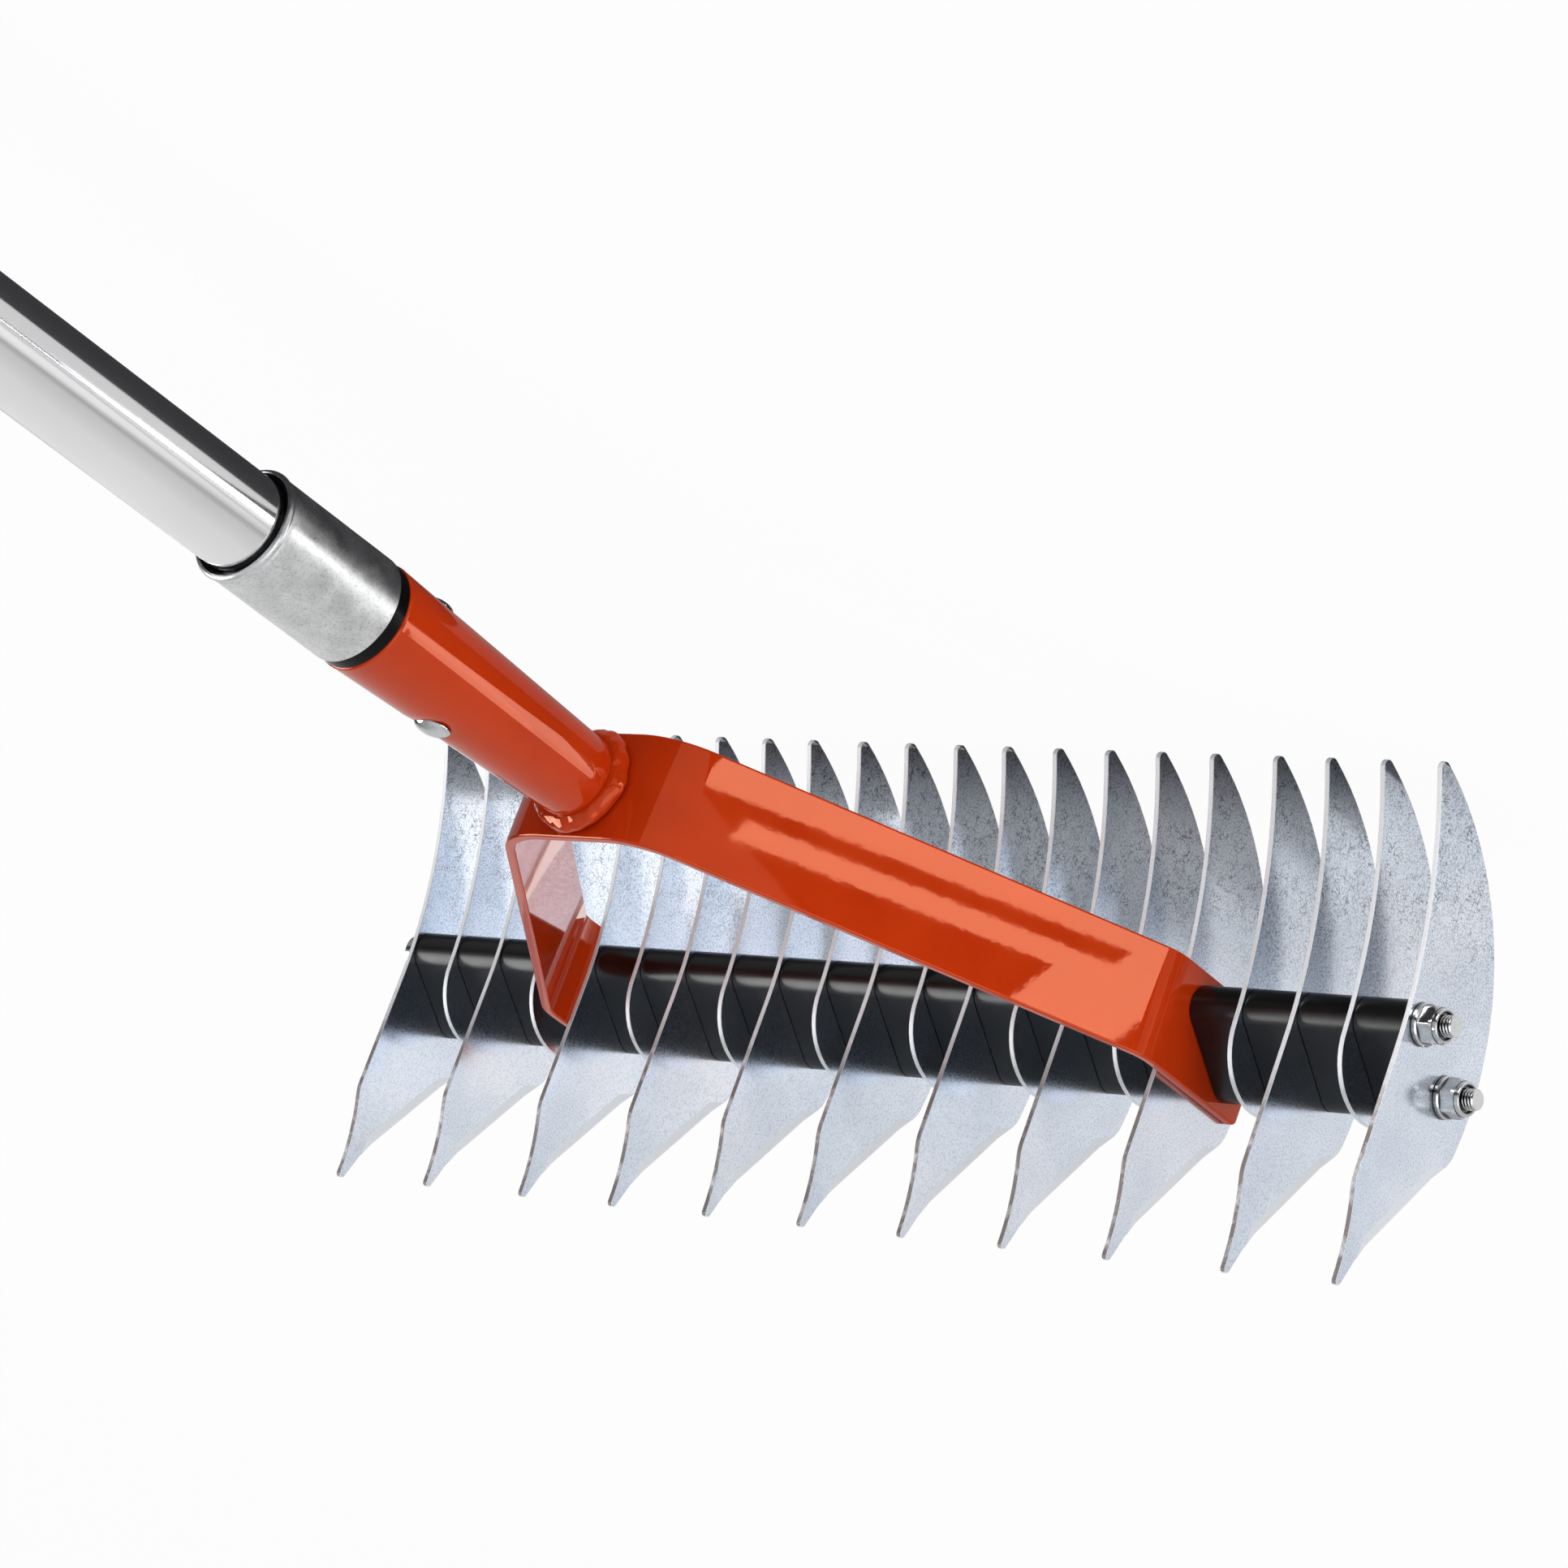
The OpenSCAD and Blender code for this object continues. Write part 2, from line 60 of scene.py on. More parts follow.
front_bolt, rear_bolt = middle_of("front_bolt"), middle_of("rear_bolt")
bolt_line = rear_bolt - front_bolt
head_middle = (front_bolt + rear_bolt) / 2
HEAD_PITCH = math.atan2(bolt_line.z, bolt_line.y) - BOLT_SLOPE
HEAD_TURN = Matrix.Rotation(HEAD_PITCH, 3, "X")
HEAD_AT = Vector((0, head_middle.y, head_middle.z))
HEAD = Matrix.Translation(HEAD_AT) @ HEAD_TURN.to_4x4() @ Matrix.Scale(MM, 4)
TO_HEAD = HEAD.inverted()


# Node trees


class Tree:
    """A node tree being built, with short ways to make and join its nodes."""

    def __init__(self, tree):
        self.nodes = tree.nodes
        self.links = tree.links

    def put(self, value, socket):
        if isinstance(value, bpy.types.NodeSocket):
            self.links.new(value, socket)
        else:
            socket.default_value = value

    def fill(self, node, **inputs):
        for key, value in inputs.items():
            self.put(value, node.inputs[key.replace("_", " ")])
        return node

    def node(self, kind, **settings):
        made = self.nodes.new("ShaderNode" + kind)
        for key, value in settings.items():
            setattr(made, key, value)
        return made

    def ramp(self, fac, *stops):
        """Tones, or colours, at places along a value."""
        made = self.fill(self.node("ValToRGB"), Fac=fac)
        band = made.color_ramp.elements
        for i, (at, colour) in enumerate(stops):
            stop = band[i] if i < 2 else band.new(at)
            stop.position = at
            tone = colour if isinstance(colour, tuple) else (colour,) * 3
            stop.color = (*tone, 1)
        return made.outputs["Color"]

    def span(self, value, low, high, to_low=0.0, to_high=1.0, how="LINEAR"):
        """A value mapped from one range to another."""
        made = self.node("MapRange", interpolation_type=how)
        self.fill(made, Value=value, From_Min=low, From_Max=high, To_Min=to_low, To_Max=to_high)
        return made.outputs["Result"]

    def math(self, how, a, b=0.0):
        made = self.node("Math", operation=how)
        self.put(a, made.inputs[0])
        self.put(b, made.inputs[1])
        return made.outputs[0]

    def mix(self, fac, a, b, how="MIX"):
        """Two colours mixed."""
        made = self.fill(self.node("Mix", data_type="RGBA", blend_type=how), Factor=fac)
        for key, value in (("A", a), ("B", b)):
            socket = next(s for s in made.inputs if s.name == key and s.type == "RGBA")
            self.put(value, socket)
        return next(s for s in made.outputs if s.type == "RGBA")

    def blend(self, fac, a, b):
        """Two shaders mixed."""
        made = self.fill(self.node("MixShader"), Fac=fac)
        self.put(a.outputs[0], made.inputs[1])
        self.put(b.outputs[0], made.inputs[2])
        return made

    def axes(self, vector):
        return self.fill(self.node("SeparateXYZ"), Vector=vector).outputs


class Look(Tree):
    """A node material on a Principled shader, with patterns laid out in the head frame."""

    def __init__(self, name):
        self.material = bpy.data.materials.new(name)
        self.material.use_nodes = True
        super().__init__(self.material.node_tree)
        self.shader = self.nodes["Principled BSDF"]
        self.place = self.node("TexCoord").outputs["Object"]

    def noise(self, scale, detail=4.0, rough=0.55, where=None, output="Fac"):
        made = self.node("TexNoise")
        self.fill(made, Vector=where or self.place, Scale=scale, Detail=detail, Roughness=rough)
        return made.outputs[output]

    def cells(self, scale, feature="F1", where=None):
        made = self.node("TexVoronoi", feature=feature)
        return self.fill(made, Vector=where or self.place, Scale=scale).outputs["Distance"]

    def stretched(self, scale):
        return self.fill(self.node("Mapping"), Vector=self.place, Scale=scale).outputs["Vector"]

    def bump(self, height, strength, distance):
        """Relief of a depth in millimetres, laid over any relief made before."""
        normal = self.shader.inputs["Normal"]
        made = self.node("Bump")
        self.fill(made, Height=height, Strength=strength, Distance=distance * MM)
        if normal.is_linked:
            self.put(normal.links[0].from_socket, made.inputs["Normal"])
        self.put(made.outputs["Normal"], normal)


# Materials: tones at places along a pattern, then a shader for each

ZINC_TINTS = (
    (0.3, (0.75, 0.815, 0.92)),
    (0.5, (0.79, 0.845, 0.93)),
    (0.72, (0.835, 0.845, 0.915)),
)
GROUND_TONES = ((0.3, (0.84, 0.87, 0.91)), (0.7, (0.92, 0.94, 0.97)))
CUT_TONES = ((0.3, (0.78, 0.79, 0.80)), (0.7, (0.92, 0.93, 0.95)))
STAIN_TONE = (0.17, 0.13, 0.12, 1)
PAINT_TONES = ((0.3, (0.465, 0.029, 0.002)), (0.7, (0.525, 0.036, 0.003)))
PAINT_GLOSS_TINT = (1.0, 0.42, 0.24, 1)
FASTENER_TONES = (
    (0.3, (0.56, 0.58, 0.60)),
    (0.55, (0.68, 0.68, 0.68)),
    (0.75, (0.70, 0.68, 0.63)),
)
TUBE_TONES = ((0.3, (0.90, 0.90, 0.91)), (0.7, (0.95, 0.95, 0.95)))
COLLAR_TONES = ((0.3, (0.64, 0.645, 0.65)), (0.7, (0.84, 0.84, 0.84)))
HAIR_WANDER = (3.5, 3.5, 3.5)
# Reach of the painted shade in the fasteners' nooks, in millimetres
PAINTED_SHADE_REACH = 4.0
ALONG_HANDLE = (3.0, 0.012, 3.0)


def zinc_sheet():
    """Zinc-coated sheet: speckle, hair lines, pale ground and cut edges, stains at the knives."""
    look = Look("zinc_sheet")
    clouds = look.noise(0.045, 3.0, 0.5)
    patches = look.noise(0.09, 2.0, 0.5)
    speckle = look.noise(1.7, 3.0, 0.7)
    tint = look.ramp(look.noise(0.022, 2.0, 0.5), *ZINC_TINTS)
    base = look.mix(1.0, tint, look.ramp(clouds, (0.3, 0.88), (0.7, 1.0)), "MULTIPLY")

    # Grain, stronger from the knives down to the sickles
    height = look.axes(look.place)["Z"]
    grain = look.span(height, 10.0, -40.0, 0.5, 0.9)
    base = look.mix(grain, base, look.ramp(speckle, (0.38, 0.5), (0.52, 1.0)), "MULTIPLY")

    # Hair lines in worn patches, mostly on the sickles
    wander = look.node("VectorMath", operation="MULTIPLY_ADD")
    look.put(look.noise(0.5, 2.0, 0.5, output="Color"), wander.inputs[0])
    look.put(HAIR_WANDER, wander.inputs[1])
    look.put(look.place, wander.inputs[2])
    hairs = look.cells(0.55, "DISTANCE_TO_EDGE", wander.outputs[0])
    lines = look.ramp(hairs, (0.02, 0.35), (0.085, 1.0))
    towards_sickle = look.span(height, -16.0, -45.0, 0.12, 1.0)
    worn = look.math("MULTIPLY", towards_sickle, look.span(patches, 0.30, 0.55))
    worn = look.math("MULTIPLY", worn, look.span(look.noise(0.3, 2.0, 0.5), 0.42, 0.56))
    base = look.mix(worn, base, look.mix(1.0, base, lines, "MULTIPLY"))

    # Ground bevels, and cut edges with stains where a knife's edge faces the handle
    facing = look.axes(look.node("NewGeometry").outputs["Normal"])
    across = look.math("ABSOLUTE", facing["X"])
    ground = look.span(across, 0.985, 0.97)
    cut = look.span(across, 0.85, 0.5)
    ground_tone = look.ramp(speckle, *GROUND_TONES)
    cut_tone = look.ramp(speckle, *CUT_TONES)
    stain = look.ramp(look.noise(0.16, 4.0, 0.65), (0.30, 0.0), (0.52, 0.85))
    stain = look.math("MULTIPLY", stain, look.span(facing["Y"], -0.2, -0.6))
    stain = look.math("MULTIPLY", stain, look.span(height, 8.0, 28.0))
    cut_tone = look.mix(stain, cut_tone, STAIN_TONE)
    base = look.mix(cut, look.mix(ground, base, ground_tone), cut_tone)

    rough = look.span(speckle, 0.3, 0.7, 0.13, 0.24)
    rough = look.math("ADD", rough, look.span(ground, 0.0, 1.0, 0.0, 0.2))
    rough = look.math("ADD", rough, look.span(cut, 0.0, 1.0, 0.0, 0.25))
    metal = look.span(ground, 0.0, 1.0, 1.0, 0.6)
    metal = look.math("MULTIPLY", metal, look.span(cut, 0.0, 1.0, 1.0, 0.65))
    look.fill(look.shader, Base_Color=base, Metallic=metal, Roughness=rough)
    look.bump(speckle, 0.25, 0.012)
    return look.material


def orange_paint():
    """Gloss powder coat: slight orange peel, tone clouds and tiny dust specks."""
    look = Look("orange_paint")
    clouds = look.noise(0.05, 3.0, 0.5)
    base = look.ramp(clouds, *PAINT_TONES)
    specks = look.ramp(look.cells(0.35), (0.02, 0.75), (0.05, 1.0))
    base = look.mix(1.0, base, specks, "MULTIPLY")
    rough = look.span(clouds, 0.2, 0.8, 0.02, 0.05)
    look.fill(look.shader, Base_Color=base, Roughness=rough)
    look.fill(look.shader, Specular_IOR_Level=1.0, Specular_Tint=PAINT_GLOSS_TINT)
    look.bump(look.noise(0.32, 2.0, 0.5), 0.3, 0.02)
    return look.material


def black_plastic(name, tone, rough, shine=0.3):
    """Moulded black plastic: fine grain, faint flow clouds and dust."""
    look = Look(name)
    clouds = look.noise(0.08, 4.0, 0.6)
    dust = look.ramp(look.noise(0.9, 6.0, 0.8), (0.62, 0.0), (0.82, 0.05))
    deep = (tone, tone, 1.08 * tone)
    pale = (1.9 * tone, 1.9 * tone, 2.0 * tone)
    base = look.mix(1.0, look.ramp(clouds, (0.3, deep), (0.7, pale)), dust, "ADD")
    rough = look.span(clouds, 0.2, 0.8, rough - 0.05, rough + 0.08)
    look.fill(look.shader, Base_Color=base, Roughness=rough, Specular_IOR_Level=shine)
    look.bump(look.noise(1.6, 3.0, 0.6), 0.3, 0.01)
    return look.material


def bright_zinc():
    """Plated fasteners: bright, faintly yellow-blue, with fine tool marks and painted shade in
    their nooks.
    """
    look = Look("bright_zinc")
    clouds = look.noise(0.35, 4.0, 0.6)
    marks = look.noise(2.2, 4.0, 0.7)
    base = look.ramp(clouds, *FASTENER_TONES)
    # Painted shade: the base colour darkens in nooks and crevices, within a few millimetres of
    # other surfaces.
    painted_nook_shade = look.fill(look.node("AmbientOcclusion"), Distance=PAINTED_SHADE_REACH * MM).outputs["AO"]
    base = look.mix(1.0, base, look.ramp(painted_nook_shade, (0.35, 0.06), (0.95, 1.0)), "MULTIPLY")
    rough = look.span(marks, 0.3, 0.7, 0.08, 0.18)
    look.fill(look.shader, Base_Color=base, Metallic=1.0, Roughness=rough)
    look.bump(marks, 0.05, 0.05)
    return look.material


def polished_tube():
    """Polished stainless tube: fine lines drawn along its length."""
    look = Look("polished_tube")
    lines = look.noise(1.0, 4.0, 0.65, look.stretched(ALONG_HANDLE))
    clouds = look.noise(0.02, 3.0, 0.5)
    base = look.ramp(clouds, *TUBE_TONES)
    rough = look.span(lines, 0.3, 0.7, 0.09, 0.16)
    look.fill(look.shader, Base_Color=base, Metallic=1.0, Roughness=rough)
    look.bump(lines, 0.03, 0.02)
    return look.material


def galvanised():
    """Galvanised collar: mottled zinc with pits and speckles."""
    look = Look("galvanised")
    clouds = look.noise(0.16, 5.0, 0.65)
    specks = look.noise(1.3, 5.0, 0.75)
    base = look.ramp(clouds, *COLLAR_TONES)
    base = look.mix(0.5, base, look.ramp(specks, (0.36, 0.45), (0.5, 1.0)), "MULTIPLY")
    rough = look.span(clouds, 0.25, 0.75, 0.24, 0.42)
    look.fill(look.shader, Base_Color=base, Metallic=1.0, Roughness=rough)
    look.bump(specks, 0.25, 0.06)
    look.bump(look.cells(0.8), 0.08, 0.08)
    return look.material


ZINC = zinc_sheet()
ORANGE = orange_paint()
SPACER = black_plastic("spacer_plastic", 0.002, 0.30, 0.45)
COUPLING = black_plastic("coupling_plastic", 0.002, 0.18, 0.12)
GRIP = black_plastic("grip_rubber", 0.014, 0.62)
CAP = black_plastic("cap_plastic", 0.010, 0.40)
BRIGHT = bright_zinc()
TUBE = polished_tube()
COLLAR = galvanised()


# Mesh helpers, with angles in degrees

SHARP = 35.0
SAME_POINT, SAME_CAD_POINT = 1e-5, 1e-4
FLAT_ANGLE, CREASE_ANGLE = 0.5, 40.0


def piece(name, mesh, material, nodes, sharp=SHARP):
    """Places a mesh drawn in the head frame, and lets it stand for its CAD nodes."""
    made = bpy.data.objects.new(name, mesh)
    bpy.context.collection.objects.link(made)
    mesh.materials.clear()
    mesh.materials.append(material)
    mesh.shade_smooth()
    mesh.set_sharp_from_angle(angle=math.radians(sharp))
    made.matrix_world = HEAD
    flat = made.modifiers.new("flat_faces", "WEIGHTED_NORMAL")
    flat.keep_sharp = True
    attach(made, "root")
    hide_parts(*nodes)


def mesh_of(name, build):
    """A mesh from a bmesh that build fills."""
    bm = bmesh.new()
    build(bm)
    bmesh.ops.remove_doubles(bm, verts=bm.verts, dist=SAME_POINT)
    bmesh.ops.recalc_face_normals(bm, faces=bm.faces)
    mesh = bpy.data.meshes.new(name)
    bm.to_mesh(mesh)
    bm.free()
    return mesh


def from_cad(bm, node, edge, segments, clamp):
    """Takes over a CAD solid, joins its flat triangles and rounds its edges."""
    bm.from_mesh(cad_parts[node].data)
    bm.transform(TO_HEAD)
    bmesh.ops.remove_doubles(bm, verts=bm.verts, dist=SAME_CAD_POINT)
    flat, crease = math.radians(FLAT_ANGLE), math.radians(CREASE_ANGLE)
    bmesh.ops.dissolve_limit(bm, angle_limit=flat, verts=bm.verts, edges=bm.edges)
    edges = [e for e in bm.edges if len(e.link_faces) == 2 and e.calc_face_angle() > crease]
    bmesh.ops.bevel(
        bm,
        geom=edges,
        offset=edge,
        segments=segments,
        profile=0.5,
        affect="EDGES",
        clamp_overlap=clamp,
    )


def skin(bm, loops, caps=True):
    """Faces between neighbouring loops of points, with a cap on each end."""
    rows = [[bm.verts.new(p) for p in loop] for loop in loops]
    for a, b in zip(rows, rows[1:]):
        for i in range(len(a)):
            j = (i + 1) % len(a)
            bm.faces.new((a[i], a[j], b[j], b[i]))
    if caps:
        bm.faces.new(rows[0])
        bm.faces.new(rows[-1])


def lathe(bm, profile, place, steps, bend=None, caps=True):
    """Turns (distance along, radius) pairs about local Z. bend changes a radius by its place."""
    loops = []
    for along, radius in profile:
        loop = []
        for i in range(steps):
            angle = 2 * math.pi * i / steps
            r = bend(angle, along, radius) if bend else radius
            loop.append(place @ Vector((r * math.cos(angle), r * math.sin(angle), along)))
        loops.append(loop)
    skin(bm, loops, caps)


def arc(centre, radius, start, end, count):
    """Points of an arc, angles in degrees."""
    made = []
    for i in range(count + 1):
        a = math.radians(start + (end - start) * i / count)
        made.append((centre[0] + radius * math.cos(a), centre[1] + radius * math.sin(a)))
    return made


def drawn_in(left, radius):
    """How far a rounded corner has drawn in where this much is left to the end."""
    short = max(0.0, radius - left)
    return radius - math.sqrt(radius**2 - short**2)


def moved(turn, at):
    """A copy of a turn, set at a place."""
    made = turn.copy()
    made.translation = at
    return made


# Local Z of a lathe along the handle, from the crest towards the grip
ON_HANDLE = Matrix(((1, 0, 0, 0), (0, 0, -1, 0), (0, 1, 0, 0), (0, 0, 0, 1)))
# Local Z of a lathe along the row of blades, outwards at its nut end and at its head end
AT_NUTS = Matrix(((0, 0, -1, 0), (0, 1, 0, 0), (1, 0, 0, 0), (0, 0, 0, 1)))
AT_HEADS = Matrix(((0, 0, 1, 0), (0, 1, 0, 0), (-1, 0, 0, 0), (0, 0, 0, 1)))


# Blades

BLADE_EDGE, BLADE_EDGE_STEPS = 0.18, 2
BLADE_LEAN = 0.5
TOOTH_REACH = 70.0
BEVEL_SHARP = 12.0


def blade(node, lean):
    """A blade with rounded edges, its teeth leaning a little to one side, as pressed sheet does."""

    def build(bm):
        from_cad(bm, node, BLADE_EDGE, BLADE_EDGE_STEPS, False)
        for v in bm.verts:
            v.co.x += lean * math.copysign((v.co.z / TOOTH_REACH) ** 2, v.co.z)

    return mesh_of(node, build)


for name in [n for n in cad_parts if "_blade_" in n]:
    sheet = blade(name, random.uniform(-BLADE_LEAN, BLADE_LEAN))
    piece(name + "_sheet", sheet, ZINC, [name], BEVEL_SHARP)


# Spacers

BOLT_PITCH = 22.5
SPACER_R = 6.5
SPACER_ROUND = 0.45
SPACER_STEPS = 24
ROUND_STEPS = 3
SPACER_SHARP = 50.0


def spacer(node):
    """A spacer between two blades: round ends about both bolts, and rounded rims."""
    low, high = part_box(node)
    x0, x1 = low.x / MM, high.x / MM
    turn = Matrix.Rotation(BOLT_SLOPE, 2)

    def outline(x, inset):
        r = SPACER_R - inset
        rear = arc((BOLT_PITCH / 2, 0), r, -90, 90, SPACER_STEPS)
        front = arc((-BOLT_PITCH / 2, 0), r, 90, 270, SPACER_STEPS)
        return [Vector((x, *(turn @ Vector(p)))) for p in rear + front]

    def build(bm):
        rim = []
        for step in range(ROUND_STEPS + 1):
            along = SPACER_ROUND * step / ROUND_STEPS
            rim.append((along, drawn_in(along, SPACER_ROUND)))
        loops = [outline(x0 + along, inset) for along, inset in rim]
        loops += [outline(x1 - along, inset) for along, inset in reversed(rim)]
        skin(bm, loops)

    return mesh_of(node, build)


for name in [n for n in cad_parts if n.startswith("spacer_")]:
    piece(name + "_moulding", spacer(name), SPACER, [name], SPACER_SHARP)


# Through bolts, washers and lock nuts

STACK = 377.5
BOLT_R = 3.0
BOLT_LINE = Vector((math.cos(BOLT_SLOPE), math.sin(BOLT_SLOPE))) * BOLT_PITCH / 2
BOLTS = (-BOLT_LINE, BOLT_LINE)
THREAD_PITCH, THREAD_DEPTH, THREAD_FLAT = 1.0, 0.6, 0.25
THREAD_ROWS = 12
HEAD_R, HEAD_RIM, HEAD_H = 5.5, 4.2, 1.6
HEAD_EDGE = 0.3
HEAD_STEPS = 10
SHANK_AROUND, HEAD_AROUND, THREAD_AROUND = 32, 64, 48
WASHER_R, WASHER_T, WASHER_HOLE_R = 6.0, 1.6, 3.3
WASHER_EDGE, WASHER_BURR, WASHER_AROUND = 0.4, 0.25, 64
NUT_AF, NUT_H, NUT_CHAMFER = 10.0, 4.4, 0.75
NUT_COLLAR_R, NUT_COLLAR_H = 4.8, 1.5
NUT_AROUND, NUT_SHARP = 120, 25.0
NUT_SECTOR = math.radians(60)
NUT_TURNS = (math.radians(11), math.radians(26))
LIP_R, LIP_DEEP = 0.55, 0.9
LIP_FROM, LIP_TO, LIP_STEPS = 90, -60, 8
TAIL, TAIL_CHAMFER = 3.1, 0.4


def domed_head(radius, rim, height):
    """Profile of a head with a straight rim and a domed top, its edges broken."""
    ball = (radius**2 + height**2) / 2 / height
    reach = math.asin(radius / ball)
    made = [(0.0, radius - HEAD_EDGE), (HEAD_EDGE, radius), (rim - HEAD_EDGE, radius)]
    for i in range(1, HEAD_STEPS):
        a = reach * (1 - i / HEAD_STEPS)
        made.append((rim + height - ball + ball * math.cos(a), ball * math.sin(a)))
    return made


def thread(angle, along, radius):
    """Radius of a V thread with a flat crest, cut down by the chamfered end."""
    turn = (along / THREAD_PITCH - angle / (2 * math.pi)) % 1.0
    flank = (1 + THREAD_FLAT) * abs(2 * turn - 1) - THREAD_FLAT
    return min(radius, BOLT_R - THREAD_DEPTH * max(0.0, flank))


def bolt(at):
    """A bolt through the row: domed head, plain shank and the thread that stands out of its nut."""
    start = WASHER_T + NUT_H
    tail = start + NUT_COLLAR_H + TAIL

    def build(bm):
        head = moved(AT_HEADS, (STACK / 2, *at))
        lathe(bm, [(-STACK - WASHER_T, BOLT_R), (-HEAD_EDGE, BOLT_R)], head, SHANK_AROUND)
        lathe(bm, domed_head(HEAD_R, HEAD_RIM, HEAD_H), head, HEAD_AROUND)
        rows = []
        count = int((tail - start) / THREAD_PITCH * THREAD_ROWS)
        for i in range(count + 1):
            along = start + (tail - start) * i / count
            rows.append((along, BOLT_R - max(0.0, along - tail + TAIL_CHAMFER)))
        lathe(bm, rows, moved(AT_NUTS, (-STACK / 2, *at)), THREAD_AROUND, thread)

    return mesh_of("bolt", build)


def washers(bm):
    """Two flat washers, each with its outer edge broken more than its inner one."""
    profile = [
        (0.0, WASHER_HOLE_R),
        (0.0, WASHER_R - WASHER_BURR),
        (WASHER_BURR, WASHER_R),
        (WASHER_T - WASHER_EDGE, WASHER_R),
        (WASHER_T, WASHER_R - WASHER_EDGE),
        (WASHER_T, WASHER_HOLE_R),
    ]
    for at in BOLTS:
        lathe(bm, profile, moved(AT_NUTS, (-STACK / 2, *at)), WASHER_AROUND, caps=False)


def hexagon(turn):
    """Cuts a radius down to the flats of a nut that came to rest at this angle."""

    def bend(angle, along, radius):
        sector = (angle + turn) % NUT_SECTOR - NUT_SECTOR / 2
        return min(NUT_AF / 2 / math.cos(sector), radius)

    return bend


def nuts(bm):
    """Two lock nuts: a chamfered hexagon with a rolled lip around its end."""
    corner = NUT_AF / 2 / math.cos(NUT_SECTOR / 2)
    foot, top = WASHER_T, WASHER_T + NUT_H
    end = top + NUT_COLLAR_H
    body = [(foot, BOLT_R), (foot, corner - NUT_CHAMFER / 2), (foot + NUT_CHAMFER / 3, corner)]
    body += [(top - NUT_CHAMFER, corner), (top, corner - NUT_CHAMFER), (top, NUT_COLLAR_R)]
    body += arc((end - LIP_R, NUT_COLLAR_R - LIP_R), LIP_R, LIP_FROM, LIP_TO, LIP_STEPS)
    body += [(end - LIP_DEEP, NUT_COLLAR_R - 2 * LIP_R), (end - LIP_DEEP, BOLT_R)]
    for at, turn in zip(BOLTS, NUT_TURNS):
        place = moved(AT_NUTS, (-STACK / 2, *at))
        lathe(bm, body, place, NUT_AROUND, hexagon(turn), caps=False)


piece("front_bolt_zinc", bolt(BOLTS[0]), BRIGHT, ["front_bolt"])
piece("rear_bolt_zinc", bolt(BOLTS[1]), BRIGHT, ["rear_bolt"])
piece("bolt_washers_zinc", mesh_of("washers", washers), BRIGHT, ["bolt_washers"])
piece("lock_nuts_zinc", mesh_of("nuts", nuts), BRIGHT, ["lock_nuts"], NUT_SHARP)


# Bow

BAR_T, BAR_W, BAR_ROUND = 3.0, 32.0, 0.7
BOW_REACH, LEG_TURN, LEG_X, LEG_END = 145.8, 24.6, 113.25, 19.5
CREST_HALF, CREST_R, LEG_R, LEG_CORNER = 24.4, 23.4, 13.0, 2.0
BEND_STEPS, END_STEPS, ROUND_POINTS = 24, 10, 5
BOW_SHARP = 60.0
ARM = math.degrees(math.atan2(BOW_REACH - LEG_TURN, LEG_X - CREST_HALF))


def bow_path():
    """Points and outward directions along the bow's middle line, from the crest to one leg."""
    crest = (CREST_HALF - CREST_R * math.tan(math.radians(ARM / 2)), CREST_R - BOW_REACH)
    turn = (LEG_X - LEG_R, LEG_R * math.tan(math.radians(45 - ARM / 2)) - LEG_TURN)
    bends = ((crest, CREST_R, -90, ARM - 90), (turn, LEG_R, ARM - 90, 0))
    made = []
    for centre, radius, start, end in bends:
        outwards = arc((0, 0), 1, start, end, BEND_STEPS)
        made += [(Vector(centre) + radius * Vector(out), Vector(out)) for out in outwards]
    for i in range(END_STEPS + 1):
        left = LEG_CORNER * (1 - math.sin(math.pi / 2 * i / END_STEPS))
        made.append((Vector((LEG_X, LEG_END - left)), Vector((1, 0))))
    return made


def bar_section(thick, wide):
    """Outline of the flat bar, as (outwards, up) pairs."""
    made = []
    for out, up, start in ((1, 1, 0), (-1, 1, 90), (-1, -1, 180), (1, -1, 270)):
        centre = (out * (thick / 2 - BAR_ROUND), up * (wide / 2 - BAR_ROUND))
        made += arc(centre, BAR_ROUND, start, start + 90, ROUND_POINTS)
    return made


def bow(bm):
    """The flat bar from leg to leg, its ends and edges rounded."""
    half = bow_path()
    other = [(Vector((-p.x, p.y)), Vector((-n.x, n.y))) for p, n in reversed(half)]
    loops = []
    for p, n in other + half:
        left = LEG_END - p.y
        thick = BAR_T - 2 * drawn_in(left, BAR_ROUND)
        wide = BAR_W - 2 * drawn_in(left, LEG_CORNER)
        loops.append([Vector((*(p + n * out), up)) for out, up in bar_section(thick, wide)])
    skin(bm, loops)


piece("bow_painted", mesh_of("bow", bow), ORANGE, ["bow"], BOW_SHARP)


# Socket, weld and screws

CREST_Y = -BOW_REACH - BAR_T / 2
ON_CREST = moved(ON_HANDLE, (0, CREST_Y, 0))
SOCKET_LEN, SOCKET_R0, SOCKET_R1, SOCKET_WALL = 95.2, 12.0, 15.75, 1.8
SOCKET_ROWS, HANDLE_AROUND, SOCKET_SHARP = 95, 128, 50.0
MOUTH_ROUND, MOUTH_STEPS, MOUTH_DEEP = 0.8, 6, 20.0
SCREWS = ((SOCKET_LEN - 36.0, 1), (SOCKET_LEN - 21.5, -1))
SCREW_R, SCREW_RIM, SCREW_H = 5.1, 0.8, 1.7
SEAT_DEPTH, SEAT_R = 0.9, 8.5
WELD_LONG, WELD_OUT, WELD_SLANT = 5.4, 4.6, 0.6
WELD_STEPS, WELD_AROUND, WELD_SHARP = 14, 160, 70.0
WELD_RIPPLES, WELD_RIPPLE, WELD_SWAYS, WELD_SWAY = 15, 0.3, 3, 0.9
WELD_LUMP, LUMP_AROUND, LUMP_ALONG = 0.8, 2.1, 0.22
WELD_GRAIN, GRAIN_AROUND, GRAIN_ALONG, GRAIN_START = 0.25, 7, 0.9, 5
